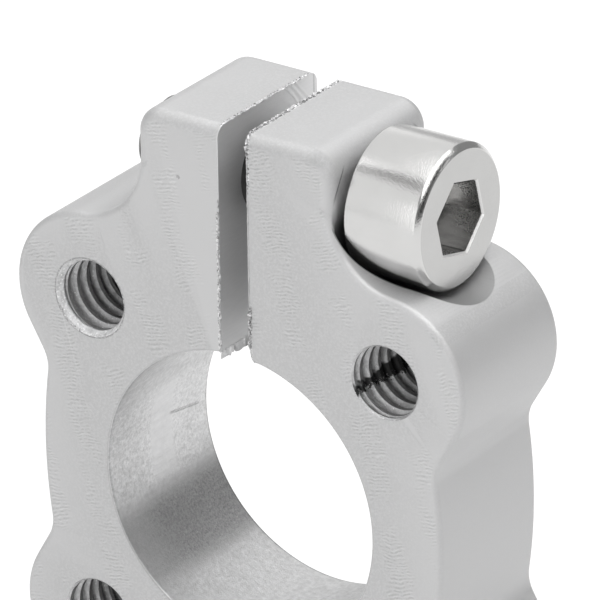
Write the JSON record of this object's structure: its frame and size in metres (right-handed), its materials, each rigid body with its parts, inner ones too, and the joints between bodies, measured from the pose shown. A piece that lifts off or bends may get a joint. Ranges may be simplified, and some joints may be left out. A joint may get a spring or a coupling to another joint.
{
  "type": "clamp shaft collar",
  "caption": "Slotted clamp collar with lobed corners, tapped flange holes, two clamp ears and a socket head screw across the slot.",
  "frame": {"origin": "middle of the shaft bore, halfway through the collar's thickness", "axes": "+Z from the bore towards the slot and the clamp ears, +X towards the screw's head, -Y out of the front face along the shaft"},
  "size_m": [0.0236, 0.0074, 0.0295],
  "materials": {
    "aluminium": "milled and clear anodised, satin",
    "plated_steel": "bright nickel plated"
  },
  "bodies": {
    "collar": {"collar_body": "aluminium"},
    "screw": {"clamp_screw": "plated_steel"}
  },
  "joints": [
    {"name": "screw_travel", "type": "slide", "parent": "collar", "child": "screw", "axis": [1, 0, 0], "range_m": [-0.00022, 0.0049]}
  ]
}
